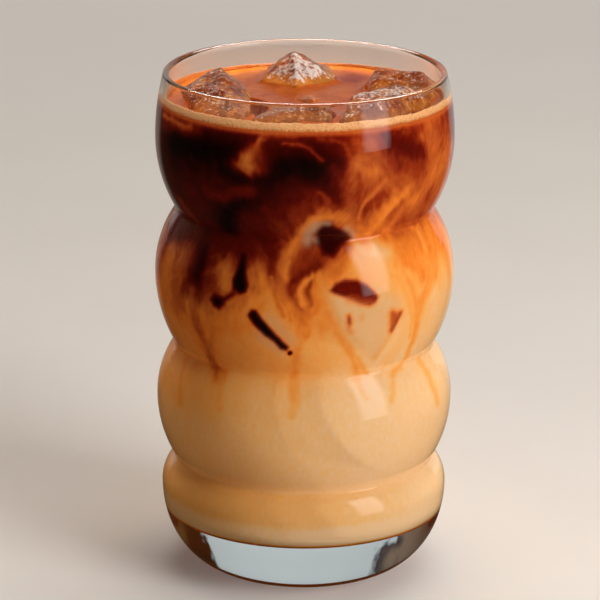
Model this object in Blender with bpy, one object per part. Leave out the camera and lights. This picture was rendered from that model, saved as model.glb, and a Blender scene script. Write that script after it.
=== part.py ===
# Iced latte in a ripple glass: a thick-based tumbler with four bulges, milk below, coffee above,
# a thin ring of foam at the wall and ice cubes standing out of the drink.
# Metres, +Z up, the glass's axis on Z, its base on z = 0, the front towards -Y.
import math

import bmesh
import bpy
from mathutils import Matrix, Vector

# Glass, outside
HEIGHT = 0.1469
RIM_RADIUS = 0.0400
BULGE_RADII = [0.0425, 0.04284, 0.04254, 0.04124]
BULGE_HEIGHTS = [0.12824, 0.08870, 0.05152, 0.02491]
NECK_RADII = [0.0366, 0.03724, 0.03717]
NECK_HEIGHTS = [0.10746, 0.06778, 0.03321]
FOOT_RADIUS = 0.02166
FOOT_FULLNESS = 2.046
# Glass, inside
WALL = 0.0018
FLOOR_HEIGHT = 0.0173
FLOOR_CORNER = 0.0040
# Drink
LEVEL = 0.1390
GAP = 0.0003
MEET_HEIGHT = 0.0850
MEET_WAVES = [(1, 0.0036, 1.6), (3, 0.0026, 2.3), (5, 0.0022, 4.0), (8, 0.0013, 0.6)]
# Foam ring
FOAM_WIDTH = 0.0013
FOAM_FRONT = 0.0019
FOAM_BACK = 0.0008
# Ice: each cube's corners above the drink as (x, y, height over the level) in millimetres
ICE_EDGE = 0.0013
ICE_SUNK = 0.0085
ICE_TAPER = 0.86
ICE = {
    "ice_left": [(-23.9, 3.8, 7.4), (-34.6, -5.4, 4.2), (-15.0, -0.6, 0.9), (-16.6, -28.6, 0.4),
                 (-28.6, -21.2, 0.6), (-23.0, -15.5, 5.2), (-32.4, 9.0, 0.8)],
    "ice_back": [(-3.6, 23.5, 7.8), (-13.0, 17.0, 0.2), (9.4, 17.9, 0.2), (-2.0, 9.6, 0.3),
                 (-11.0, 31.5, 1.0), (7.0, 32.5, 1.0)],
    "ice_right_back": [(19.9, 15.6, 4.3), (34.2, 13.6, 3.9), (36.6, 9.2, 2.6), (17.2, 14.4, 0.2),
                       (18.6, -0.5, 0.4), (36.2, -1.5, 0.5), (28.0, 21.0, 0.6)],
    "ice_right_front": [(12.9, -22.4, 6.0), (20.8, -12.6, 6.4), (29.4, -9.8, 6.0), (27.2, -19.4, 5.2),
                        (18.0, -27.4, 4.6), (9.6, -30.8, 0.3), (33.6, -12.4, 0.5), (22.0, -29.0, 0.4),
                        (14.0, -13.6, 0.4), (34.4, -10.4, 2.8)],
    "ice_front": [(-15.0, -29.8, 0.3), (-8.5, -27.5, 1.8), (1.9, -26.6, 2.9), (6.8, -25.6, 2.8),
                  (7.6, -29.6, 0.3), (5.6, -14.0, 0.4), (-9.4, -15.0, 0.4)],
    "ice_middle": [(1.0, -3.6, 1.1), (-2.6, -2.8, 0.2), (4.8, -2.6, 0.2), (0.8, -7.0, 0.3),
                   (1.6, 3.0, 0.3)],
}
# Mesh
TURNS = 48
DRINK_TURNS = 40
ARC_STEPS = 4


def clear_scene():
    for item in list(bpy.data.objects):
        bpy.data.objects.remove(item, do_unlink=True)


def arc_radius(crest, drop, rise):
    """Radius of the arc that stands upright at the crest and runs to a neck."""
    return (drop * drop + rise * rise) / (2 * drop)


def bulge_radius(z):
    """Outer radius of the glass at height z above the lowest crest."""
    stops = [(RIM_RADIUS, HEIGHT)]
    for index in range(4):
        stops.append((BULGE_RADII[index], BULGE_HEIGHTS[index]))
        if index < 3:
            stops.append((NECK_RADII[index], NECK_HEIGHTS[index]))
    for index in range(len(stops) - 1):
        upper, lower = stops[index], stops[index + 1]
        if z >= lower[1]:
            crest, neck = (lower, upper) if index % 2 == 0 else (upper, lower)
            drop = crest[0] - neck[0]
            rise = abs(crest[1] - neck[1])
            rho = arc_radius(crest[0], drop, rise)
            away = min(abs(z - crest[1]), rise)
            return crest[0] - rho + math.sqrt(rho * rho - away * away)
    return BULGE_RADII[3]


def foot_point(turn):
    """Point of the rounded foot, turn running from 0 at the lowest crest to 1 at the base."""
    power = 2 / FOOT_FULLNESS
    angle = turn * math.pi / 2
    radius = FOOT_RADIUS + (BULGE_RADII[3] - FOOT_RADIUS) * max(0.0, math.cos(angle)) ** power
    return radius, BULGE_HEIGHTS[3] * (1 - math.sin(angle) ** power)


def outer_radius(z):
    """Outer radius of the glass at any height."""
    if z >= BULGE_HEIGHTS[3]:
        return bulge_radius(min(z, HEIGHT))
    power = 2 / FOOT_FULLNESS
    sine = (1 - z / BULGE_HEIGHTS[3]) ** (1 / power)
    return foot_point(math.asin(min(1.0, sine)) * 2 / math.pi)[0]


def inner_radius(z):
    """Inner radius of the glass: the outer skin moved in by the wall, rounded into the floor."""
    radius = 1.0
    for step in range(-12, 13):
        away = WALL * step / 12
        reach = math.sqrt(max(0.0, WALL * WALL - away * away))
        radius = min(radius, bulge_radius(min(max(z + away, BULGE_HEIGHTS[3]), HEIGHT)) - reach)
    above = z - FLOOR_HEIGHT
    if above < FLOOR_CORNER:
        across = math.sqrt(max(0.0, FLOOR_CORNER ** 2 - (FLOOR_CORNER - above) ** 2))
        radius -= FLOOR_CORNER - across
    return radius


def wall_heights():
    """Heights at which the ripples of the wall are drawn, top to bottom."""
    stops = [HEIGHT]
    for index in range(4):
        stops.append(BULGE_HEIGHTS[index])
        if index < 3:
            stops.append(NECK_HEIGHTS[index])
    heights = []
    for upper, lower in zip(stops[:-1], stops[1:]):
        heights += [upper + (lower - upper) * step / ARC_STEPS for step in range(ARC_STEPS)]
    return heights + [stops[-1]]


def turned(name, profile, turns, closed_loop=False, shape=None):
    """Mesh of a profile of (radius, z) points turned about Z; the profile runs up the outer side.

    A point of radius 0 becomes one vertex. shape(radius, z, angle, index) may move each point.
    """
    verts = []
    rows = []
    for index, (radius, z) in enumerate(profile):
        if radius <= 0:
            rows.append([len(verts)])
            verts.append((0.0, 0.0, z if shape is None else shape(0.0, z, 0.0, index)[1]))
            continue
        rows.append(list(range(len(verts), len(verts) + turns)))
        for turn in range(turns):
            angle = 2 * math.pi * turn / turns
            r, h = (radius, z) if shape is None else shape(radius, z, angle, index)
            verts.append((r * math.cos(angle), r * math.sin(angle), h))
    faces = []
    pairs = list(zip(rows[:-1], rows[1:]))
    if closed_loop:
        pairs.append((rows[-1], rows[0]))
    for low, high in pairs:
        for turn in range(turns):
            after = (turn + 1) % turns
            if len(low) == 1:
                faces.append((low[0], high[after], high[turn]))
            elif len(high) == 1:
                faces.append((low[turn], low[after], high[0]))
            else:
                faces.append((low[turn], low[after], high[after], high[turn]))
    return add_mesh(name, verts, faces)


def add_mesh(name, verts, faces):
    mesh = bpy.data.meshes.new(name)
    mesh.from_pydata(verts, [], faces)
    mesh.update()
    mesh.shade_smooth()
    mesh.set_sharp_from_angle(angle=math.radians(40))
    item = bpy.data.objects.new(name, mesh)
    bpy.context.scene.collection.objects.link(item)
    return item


def give_material(item, name, colour, roughness, transmission=0.0, ior=1.45):
    material = bpy.data.materials.new(name)
    material.use_nodes = True
    shader = material.node_tree.nodes["Principled BSDF"]
    shader.inputs["Base Color"].default_value = (*colour, 1)
    shader.inputs["Roughness"].default_value = roughness
    shader.inputs["Metallic"].default_value = 0
    shader.inputs["Transmission Weight"].default_value = transmission
    shader.inputs["IOR"].default_value = ior
    item.data.materials.append(material)


def make_glass():
    """The tumbler: solid rounded foot, rippled wall, round rim."""
    lip = WALL / 2
    outer = [foot_point(1 - step / 9) for step in range(9)]
    outer[0] = (FOOT_RADIUS, 0.0)
    rising = [z for z in reversed(wall_heights()) if z < HEIGHT - lip - 0.0006]
    outer += [(outer_radius(z), z) for z in rising]
    middle = RIM_RADIUS - lip
    rim = [(middle + lip * math.cos(a), HEIGHT - lip + lip * math.sin(a))
           for a in (math.pi * step / 6 for step in range(7))]
    inner = [(inner_radius(z), z) for z in reversed(rising) if z > FLOOR_HEIGHT + FLOOR_CORNER + 0.0002]
    corner_radius = inner_radius(FLOOR_HEIGHT + FLOOR_CORNER) - FLOOR_CORNER
    corner = []
    for step in range(7):
        angle = math.pi / 2 * step / 6
        corner.append((corner_radius + FLOOR_CORNER * math.cos(angle),
                       FLOOR_HEIGHT + FLOOR_CORNER * (1 - math.sin(angle))))
    profile = [(0.0, 0.0)] + outer + rim + inner + corner + [(0.0, FLOOR_HEIGHT)]
    glass = turned("glass", profile, TURNS)
    give_material(glass, "glass", (0.96, 0.97, 0.97), 0.03, transmission=1.0, ior=1.5)
    return glass


def meet_height(radius, angle):
    """Height at which the coffee meets the milk, waving round the wall and calm at the middle."""
    share = radius / 0.04
    wave = sum(size * math.sin(count * angle + phase) for count, size, phase in MEET_WAVES)
    return MEET_HEIGHT + wave * share


def drink_radius(z):
    return inner_radius(z) - GAP


def make_milk():
    """Milk layer, from the glass's floor up to the waving face under the coffee."""
    rows = 5
    low = FLOOR_HEIGHT + GAP
    corner = [low + FLOOR_CORNER * (1 - math.cos(math.pi / 2 * step / 4)) for step in range(4)]
    fixed = [z for z in reversed(wall_heights()) if FLOOR_HEIGHT + FLOOR_CORNER < z <= NECK_HEIGHTS[1] + 1e-6]
    profile = [(0.0, low)]
    profile += [(inner_radius(max(z - GAP, FLOOR_HEIGHT)) - GAP, z) for z in corner]
    profile += [(drink_radius(z), z) for z in fixed]
    start = len(profile)
    profile += [(0.04, NECK_HEIGHTS[1])] * rows
    rings = [0.8, 0.55, 0.28]
    profile += [(share, 0.0) for share in rings] + [(0.0, 0.0)]

    def shape(radius, z, angle, index):
        if index < start:
            return radius, z
        top = meet_height(0.04, angle)
        if index < start + rows:
            z = NECK_HEIGHTS[1] + (top - NECK_HEIGHTS[1]) * (index - start + 1) / rows
            return drink_radius(z), z
        radius = radius * drink_radius(top)
        return radius, meet_height(radius, angle)

    milk = turned("milk", profile, DRINK_TURNS, shape=shape)
    give_material(milk, "milk", (0.79, 0.50, 0.27), 0.45)
    return milk


def make_coffee(cutters):
    """Coffee layer on the milk, filled up to the level, with the ice cut out of it."""
    rows = 5
    rings = [0.28, 0.55, 0.8]
    fixed = [z for z in reversed(wall_heights()) if NECK_HEIGHTS[0] - 1e-6 < z < LEVEL - 0.0008]
    profile = [(0.0, 0.0)] + [(share, 0.0) for share in rings]
    start = len(profile)
    profile += [(0.04, 0.1)] * rows
    profile += [(drink_radius(z), z) for z in fixed]
    profile += [(drink_radius(LEVEL), LEVEL), (0.0, LEVEL)]

    def shape(radius, z, angle, index):
        bottom = meet_height(0.04, angle) + GAP
        if index < start:
            radius = radius * drink_radius(bottom)
            return radius, meet_height(radius, angle) + GAP
        if index < start + rows:
            z = bottom + (NECK_HEIGHTS[0] - bottom) * (index - start) / rows
            return drink_radius(z), z
        return radius, z

    coffee = turned("coffee", profile, DRINK_TURNS, shape=shape)
    for cutter in cutters:
        cut = coffee.modifiers.new(cutter.name, "BOOLEAN")
        cut.operation = "DIFFERENCE"
        cut.object = cutter
    give_material(coffee, "coffee", (0.09, 0.02, 0.006), 0.15)
    return coffee


def make_crema():
    """Ring of foam that climbs the wall from the drink's level, highest at the front."""
    low = LEVEL + GAP

    def shape(radius, z, angle, index):
        front = 0.5 - 0.5 * math.sin(angle)
        rise = FOAM_BACK + (FOAM_FRONT - FOAM_BACK) * front
        height = low + (rise - GAP) * z
        return inner_radius(height) - GAP - FOAM_WIDTH * radius, height

    profile = [(1.0, 0.0), (1e-9, 0.0), (1e-9, 0.55), (0.12, 1.0), (0.55, 0.9), (0.9, 0.45)]
    crema = turned("crema", profile, TURNS, closed_loop=True, shape=shape)
    give_material(crema, "crema", (0.70, 0.36, 0.12), 0.6)
    return crema


def make_ice(name, corners, grow=0.0):
    """A rounded lump of ice: the hull of small balls set just inside its corners."""
    points = [Vector((x / 1000, y / 1000, LEVEL + z / 1000)) for x, y, z in corners]
    middle = sum(points, Vector()) / len(points)
    sunk = []
    for point in points:
        if point.z < LEVEL + 0.0025:
            away = Vector((point.x - middle.x, point.y - middle.y, 0)) * ICE_TAPER
            sunk.append(Vector((middle.x + away.x, middle.y + away.y, LEVEL - ICE_SUNK)))
    centre = Vector((middle.x, middle.y, LEVEL - ICE_SUNK / 3))
    mesh = bmesh.new()
    for point in points + sunk:
        inward = (centre - point).normalized() * ICE_EDGE * 1.2
        bmesh.ops.create_icosphere(mesh, subdivisions=2, radius=ICE_EDGE + grow,
                                   matrix=Matrix.Translation(point + inward))
    result = bmesh.ops.convex_hull(mesh, input=mesh.verts)
    spare = [v for v in mesh.verts if not any(f for f in v.link_faces if f in result["geom"])]
    inside = set(result["geom_interior"]) | set(result["geom_unused"]) | set(spare)
    bmesh.ops.delete(mesh, geom=[v for v in inside if isinstance(v, bmesh.types.BMVert)], context="VERTS")
    hull_faces = {f for f in result["geom"] if isinstance(f, bmesh.types.BMFace) and f.is_valid}
    bmesh.ops.delete(mesh, geom=[f for f in mesh.faces if f not in hull_faces], context="FACES")
    bmesh.ops.delete(mesh, geom=[v for v in mesh.verts if not v.link_faces], context="VERTS")
    bmesh.ops.recalc_face_normals(mesh, faces=mesh.faces)
    data = bpy.data.meshes.new(name)
    mesh.to_mesh(data)
    mesh.free()
    data.shade_smooth()
    data.set_sharp_from_angle(angle=math.radians(40))
    item = bpy.data.objects.new(name, data)
    bpy.context.scene.collection.objects.link(item)
    return item


def main():
    clear_scene()
    make_glass()
    make_milk()
    cutters = []
    for name, corners in ICE.items():
        ice = make_ice(name, corners)
        give_material(ice, name, (0.85, 0.66, 0.48), 0.2, transmission=0.8, ior=1.31)
        cutter = make_ice(name + "_space", corners, grow=GAP)
        cutter.hide_render = True
        cutter.display_type = "WIRE"
        cutters.append(cutter)
    make_coffee(cutters)
    make_crema()


main()
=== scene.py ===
"""The iced latte's looks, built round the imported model.

The glass, the drink, its surface, the foam and the ice are made again as finer pieces from the
same sizes as the solids. The swirls are painted on the drink's skin as one value, from 0 for
black coffee to 1 for milk, which the material turns into colour.
Metres, +Z up, the front towards -Y.
"""
import math

import bmesh
import bpy
import numpy as np
from mathutils import Matrix, Quaternion, Vector


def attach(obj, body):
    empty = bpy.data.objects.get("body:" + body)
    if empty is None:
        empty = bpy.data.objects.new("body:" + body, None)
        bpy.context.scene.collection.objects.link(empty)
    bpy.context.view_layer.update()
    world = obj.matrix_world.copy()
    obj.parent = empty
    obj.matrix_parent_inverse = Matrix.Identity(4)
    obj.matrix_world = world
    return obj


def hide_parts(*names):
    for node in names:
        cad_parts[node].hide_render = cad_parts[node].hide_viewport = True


# Glass, as in the solids
HEIGHT = 0.1469
RIM_RADIUS = 0.0400
BULGE_RADII = [0.0425, 0.04284, 0.04254, 0.04124]
BULGE_HEIGHTS = [0.12824, 0.08870, 0.05152, 0.02491]
NECK_RADII = [0.0366, 0.03724, 0.03717]
NECK_HEIGHTS = [0.10746, 0.06778, 0.03321]
FOOT_RADIUS = 0.02166
FOOT_FULLNESS = 2.046
WALL = 0.0018
FLOOR_HEIGHT = 0.0173
FLOOR_CORNER = 0.0040
NECK_SOFTNESS = 0.00022
# Drink
LEVEL = 0.1390
INTO_WALL = 0.00006
MEET_HEIGHT = 0.0850
MEET_WAVES = [(1, 0.0036, 1.6), (3, 0.0026, 2.3), (5, 0.0022, 4.0), (8, 0.0013, 0.6)]
# Foam ring
FOAM_WIDTH = 0.0016
FOAM_FRONT = 0.0024
FOAM_BACK = 0.0006
# Ice: radius of the edges, how deep it reaches, its narrowing there, and the height over the level
# under which a corner has a sunk twin
ICE_EDGE = 0.0013
ICE_SUNK = 0.0085
ICE_TAPER = 0.86
ICE_LOW = 0.0025
# Its corners as (x, y, height over the level) in millimetres
ICE = {
    "ice_left": [(-23.9, 3.8, 7.4), (-34.6, -5.4, 4.2), (-15.0, -0.6, 0.9), (-16.6, -28.6, 0.4),
                 (-28.6, -21.2, 0.6), (-23.0, -15.5, 5.2), (-32.4, 9.0, 0.8)],
    "ice_back": [(-3.6, 23.5, 7.8), (-13.0, 17.0, 0.2), (9.4, 17.9, 0.2), (-2.0, 9.6, 0.3),
                 (-11.0, 31.5, 1.0), (7.0, 32.5, 1.0)],
    "ice_right_back": [(19.9, 15.6, 4.3), (34.2, 13.6, 3.9), (36.6, 9.2, 2.6), (17.2, 14.4, 0.2),
                       (18.6, -0.5, 0.4), (36.2, -1.5, 0.5), (28.0, 21.0, 0.6)],
    "ice_right_front": [(12.9, -22.4, 6.0), (20.8, -12.6, 6.4), (29.4, -9.8, 6.0), (27.2, -19.4, 5.2),
                        (18.0, -27.4, 4.6), (9.6, -30.8, 0.3), (33.6, -12.4, 0.5), (22.0, -29.0, 0.4),
                        (14.0, -13.6, 0.4), (34.4, -10.4, 2.8)],
    "ice_front": [(-15.0, -29.8, 0.3), (-8.5, -27.5, 1.8), (1.9, -26.6, 2.9), (6.8, -25.6, 2.8),
                  (7.6, -29.6, 0.3), (5.6, -14.0, 0.4), (-9.4, -15.0, 0.4)],
    "ice_middle": [(1.0, -3.6, 1.1), (-2.6, -2.8, 0.2), (4.8, -2.6, 0.2), (0.8, -7.0, 0.3),
                   (1.6, 3.0, 0.3)],
}
# Swirls in painting order: milk value, half width in mm, strength, path of (degrees, height in mm)
SWIRLS = [
    # Broad fields
    (0.49, 5.0, 0.95, [(25, 134), (27, 122), (25, 113)]),
    (0.50, 6.0, 0.95, [(35, 125), (45, 122), (52, 116)]),
    (0.54, 7.0, 0.95, [(56, 135), (62, 124), (74, 118)]),
    (0.53, 2.4, 0.9, [(19.5, 131), (17, 125), (17, 119), (19, 112)]),
    (0.20, 7.0, 0.8, [(-60, 125), (-40, 122), (-14, 119), (3, 124)]),
    (0.68, 3.6, 0.9, [(42, 103.5), (50, 101), (60, 103), (74, 100)]),
    (0.96, 4.6, 0.9, [(59, 88), (66, 80), (62, 72)]),
    (0.92, 2.5, 0.85, [(43, 86), (44, 78), (38, 71)]),
    (0.96, 3.0, 0.95, [(25, 105), (30, 103), (35, 102)]),
    (0.86, 2.4, 0.9, [(20, 101), (28, 99), (36, 97)]),
    (0.87, 4.0, 0.8, [(4, 80), (10, 74), (2, 72)]),
    (0.72, 2.4, 0.85, [(7, 95), (9, 89), (7, 84)]),
    (0.83, 5.0, 0.8, [(-32, 74), (-16, 77), (-10, 71)]),
    (0.72, 4.0, 0.8, [(-40, 84), (-28, 86)]),
    (0.80, 2.8, 0.8, [(-12, 91), (-8, 85)]),
    (0.56, 3.6, 0.9, [(-57, 101), (-56, 93), (-58, 85)]),
    (0.66, 3.4, 0.8, [(-67, 98), (-68, 86)]),
    (0.60, 2.6, 0.85, [(-19, 102), (-18, 96)]),
    # Coffee at its blackest
    (0.00, 4.6, 0.98, [(-60, 130.5), (-45, 131.5), (-32, 131.5)]),
    (0.02, 3.0, 0.95, [(-31, 129), (-26, 126), (-15, 125.8), (-5, 129), (3, 130)]),
    (0.01, 3.0, 0.95, [(-8, 130), (0, 130.5), (4, 128.5)]),
    (0.10, 2.0, 0.8, [(5, 133), (12, 130.5)]),
    (0.00, 3.2, 0.97, [(-33, 114), (-36, 110.5)]),
    (0.02, 2.0, 0.9, [(-31, 116.5), (-25, 118)]),
    (0.10, 2.2, 0.7, [(-15, 122), (-22, 117)]),
    # Red brown and amber in the coffee
    (0.34, 1.5, 0.8, [(-42, 120.5), (-34, 118.8), (-29, 121), (-21, 122)]),
    (0.27, 3.0, 0.6, [(-52, 117), (-46, 110)]),
    (0.42, 2.6, 0.7, [(-62, 113), (-57, 109)]),
    (0.28, 3.2, 0.8, [(-22, 111), (-12, 109.5)]),
    (0.33, 1.2, 0.7, [(-16, 117), (-12.5, 113), (-11, 110)]),
    (0.37, 3.2, 0.85, [(-8, 110), (-4, 115), (1, 119)]),
    (0.36, 1.7, 0.85, [(-17.5, 133), (-17, 129), (-21, 127.3), (-27, 129.5)]),
    (0.50, 1.1, 0.9, [(-15.5, 137.4), (-18.2, 136), (-20.5, 133.5), (-22.2, 131)]),
    (0.62, 1.5, 0.95, [(-22.5, 131.3), (-23.3, 129.6), (-21.3, 129)]),
    (0.55, 0.8, 0.7, [(-24.5, 130.5), (-26, 129.5)]),
    (0.33, 0.7, 0.8, [(-15.5, 137.4), (-10, 138), (-4, 137.6)]),
    (0.42, 0.5, 0.85, [(-8, 136.2), (-3, 135.8), (2, 134.6), (4, 133.2), (6, 131.3)]),
    (0.38, 0.7, 0.8, [(5, 137.2), (12, 136.8), (15, 135.5), (19, 133.5)]),
    (0.42, 0.7, 0.8, [(5.5, 122.5), (8, 120.8), (10.5, 118)]),
    (0.33, 1.2, 0.6, [(11, 129), (15, 125)]),
    (0.58, 1.0, 0.9, [(-72, 136.8), (-60, 136.5), (-50, 136.9)]),
    (0.40, 1.6, 0.6, [(-72, 134), (-60, 135.4), (-46, 136.6)]),
    # Right of the upper bulge
    (0.37, 1.6, 0.85, [(37, 137), (44, 136.8), (50, 137)]),
    (0.23, 2.3, 0.92, [(36.5, 134.3), (41, 132.4), (46, 131), (50, 130)]),
    (0.35, 2.4, 0.85, [(40, 128), (47, 127.5), (50, 125)]),
    (0.45, 2.4, 0.7, [(42, 124), (52, 122)]),
    (0.36, 1.5, 0.85, [(24, 116.3), (26.5, 117)]),
    (0.40, 1.1, 0.8, [(26, 118.3), (31, 119.5), (36, 118.5)]),
    (0.43, 1.1, 0.8, [(42, 118.2), (46, 119.2), (51, 119)]),
    (0.60, 1.7, 0.8, [(27.5, 127.3), (23, 127), (20.5, 129)]),
    (0.43, 0.7, 0.8, [(20.5, 126.5), (22, 124), (24.5, 121.5)]),
    (0.60, 0.7, 0.85, [(32, 124.5), (28, 121.3), (24, 118.5), (22.5, 114)]),
    (0.60, 2.2, 0.75, [(75, 127), (62, 123), (54, 119), (46, 113)]),
    (0.65, 1.9, 0.9, [(44, 119.2), (38, 118.3), (34, 115.5), (30, 111), (27, 107)]),
    (0.71, 0.9, 0.8, [(40, 117.5), (35.5, 115), (32.5, 111), (29, 108)]),
    (0.61, 1.6, 0.85, [(50, 117), (44, 115), (40.5, 111), (38, 106)]),
    (0.46, 2.2, 0.8, [(47, 111), (52, 108.5), (62, 108.5)]),
    (0.50, 0.9, 0.7, [(32, 108), (36, 108.5)]),
    (0.55, 1.2, 0.7, [(44, 106.3), (54, 105.6)]),
    (0.57, 4.0, 0.6, [(72, 134), (73, 112)]),
    # Round the first sunk cube
    (0.56, 2.6, 0.9, [(-9, 101.5), (-5, 105), (-1, 109), (3, 113.2), (8, 115)]),
    (0.66, 1.1, 0.9, [(-7, 103), (-3, 107.5), (0, 111.5), (4, 114.4), (10, 115.3), (16, 114.3)]),
    (0.60, 1.6, 0.8, [(14, 113.5), (18, 112), (22, 110)]),
    (0.62, 1.4, 0.8, [(23.5, 110), (24.5, 107.5)]),
    (0.62, 1.7, 0.85, [(9, 102), (16, 101.5)]),
    (0.34, 1.6, 0.85, [(7.5, 105), (12, 104.6), (17, 106.5)]),
    (0.50, 1.4, 0.8, [(5, 104), (12, 102.8), (18, 104.5)]),
    (0.40, 1.7, 0.85, [(-3, 98.5), (1, 101.3), (7, 102.8)]),
    # Streams of the middle bulge, centre
    (0.58, 1.6, 0.85, [(-9, 102), (-8.5, 97), (-6.5, 92)]),
    (0.68, 0.8, 0.8, [(-6, 102), (-8, 99), (-6, 95.5), (-5, 91), (-5.5, 86)]),
    (0.31, 1.1, 0.95, [(5.5, 100.7), (1.5, 99), (-3, 97.5), (-5, 95.6), (-4.4, 93.6)]),
    (0.33, 0.9, 0.95, [(3, 99), (2.2, 95), (1.8, 91)]),
    (0.42, 0.7, 0.85, [(-4.4, 94.5), (-2.6, 92), (-1, 89.5)]),
    (0.58, 1.3, 0.85, [(1.5, 91), (-0.3, 87), (0.3, 82)]),
    (0.62, 0.8, 0.7, [(4, 96.5), (5.5, 92.5), (4, 88)]),
    (0.76, 0.8, 0.8, [(3.2, 98), (-0.5, 95.5), (-1, 93), (0, 91)]),
    (0.74, 1.0, 0.85, [(0.4, 83), (-1.3, 78), (-3.6, 73), (-4.5, 67), (-4.4, 62)]),
    (0.74, 1.0, 0.9, [(6.5, 93), (9, 88.5), (12, 84), (15, 79.5), (19, 75), (22, 70.5), (24, 67.5)]),
    (0.78, 0.7, 0.85, [(10, 90), (13, 84.5), (16.5, 79), (21, 74.5), (26, 69.5), (29, 67)]),
    (0.33, 1.1, 0.85, [(-12, 105), (-14, 100.5), (-12.8, 97.5)]),
    (0.60, 0.7, 0.8, [(-12.8, 97.5), (-10, 91), (-8, 87.5)]),
    (0.70, 1.2, 0.75, [(-16.5, 98), (-15.5, 92)]),
    (0.56, 0.9, 0.7, [(-9.8, 97), (-11, 93)]),
    # Streams of the middle bulge, left
    (0.24, 3.2, 0.95, [(-47, 104), (-47, 97), (-49, 90)]),
    (0.08, 1.6, 0.8, [(-45, 101), (-45.5, 94.5)]),
    (0.36, 2.0, 0.8, [(-39, 101), (-40, 96.5)]),
    (0.28, 2.6, 0.85, [(-56, 104.5), (-72, 102)]),
    (0.27, 2.0, 0.85, [(-40, 104.5), (-24, 103.5), (-14, 104)]),
    (0.68, 2.2, 0.85, [(-33, 98), (-32, 94.5)]),
    (0.50, 1.7, 0.8, [(-49, 90), (-48.3, 86), (-46.5, 80)]),
    (0.60, 1.8, 0.9, [(-50, 87), (-47.5, 83), (-45.5, 79), (-44, 73), (-43.4, 68), (-40, 65.5)]),
    (0.68, 1.0, 0.8, [(-35, 84), (-39, 79), (-42.5, 73), (-43.4, 68)]),
    (0.76, 0.8, 0.7, [(-52, 86), (-50.5, 79), (-46, 73)]),
    (0.62, 1.6, 0.85, [(-39, 86), (-33, 87.3), (-27, 89.3), (-22, 91.5), (-18.5, 92.5)]),
    (0.74, 1.0, 0.85, [(-36, 82), (-29, 83.6), (-24, 87), (-19, 90.5), (-14, 93)]),
    (0.56, 1.2, 0.7, [(-21.5, 99), (-21, 95)]),
    # Streams of the middle bulge, right
    (0.66, 1.9, 0.85, [(46, 98.5), (51, 96), (53, 93.5)]),
    (0.65, 0.9, 0.85, [(56.5, 106), (56.3, 100)]),
    (0.66, 0.9, 0.85, [(61.5, 106), (61, 97)]),
    (0.79, 0.8, 0.8, [(59, 105), (58.8, 100)]),
    (0.71, 0.9, 0.8, [(67, 104), (65, 97), (61.5, 92)]),
    (0.80, 0.5, 0.85, [(36, 96.5), (39, 94.5), (42, 92), (44, 89), (46, 86), (47, 81), (47, 77)]),
    (0.76, 0.9, 0.9, [(40, 99), (44, 94), (47, 90.5), (49, 87), (49.5, 80), (49.8, 74), (50, 70)]),
    (0.73, 1.2, 0.85, [(58, 97), (57, 92.5), (53, 89.5), (51, 87)]),
    (0.76, 1.1, 0.85, [(62, 97), (59, 91), (55, 88.5), (51.5, 86), (50.5, 81), (50.3, 75)]),
    (0.80, 0.9, 0.7, [(50, 70), (47, 66.5), (42, 65.5)]),
    (0.84, 0.8, 0.7, [(40.5, 97), (43.5, 91), (45, 86)]),
    # Thin threads that sink into the milk
    (0.85, 1.0, 0.7, [(-64, 65), (-60, 60), (-57, 55)]),
    (0.85, 0.9, 0.7, [(-39, 65.5), (-36.5, 61), (-35, 57)]),
    (0.86, 1.0, 0.7, [(-4.5, 66), (-4, 62), (-4.6, 57)]),
    (0.86, 1.2, 0.8, [(62, 66), (64, 60), (66, 54)]),
    (0.87, 0.7, 0.7, [(23, 67), (26, 61)]),
    (0.86, 0.8, 0.7, [(41, 65), (37.5, 59)]),
]
# Faces of sunk cubes against the wall: milk value, strength of the painted sheen over them, softness in mm,
# outline
FACES = [
    (0.94, 0.38, 2.0, [
        (9, 93.5), (12, 87.5), (15, 83), (20, 79), (27, 75), (31, 72.3), (33.5, 75), (36.5, 79),
        (40.5, 85), (41, 86.3), (36, 89.8), (30, 92.8), (24, 95.4), (16, 96.8)]),
]
# Greyish painted sheen over sunk ice, as highlights on its faces and as painted shade at the cube's top
# right: strength, half width in mm, path
ICE_SHEENS = [
    (0.75, 1.3, [(1.2, 107), (1.8, 110.3), (4.6, 112.2)]),
    (0.55, 0.8, [(5, 112.8), (10, 113)]),
    (0.60, 0.9, [(18, 110.9), (21.6, 109), (22, 107.6)]),
    (0.55, 1.2, [(2.8, 108.2), (5.2, 107.4)]),
    (0.35, 1.6, [(-17, 80.5), (-10, 77)]),
    (0.35, 1.6, [(-13, 86), (-5, 80)]),
    (0.30, 1.4, [(29, 92.5), (34, 90.5), (38, 88)]),
]
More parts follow.
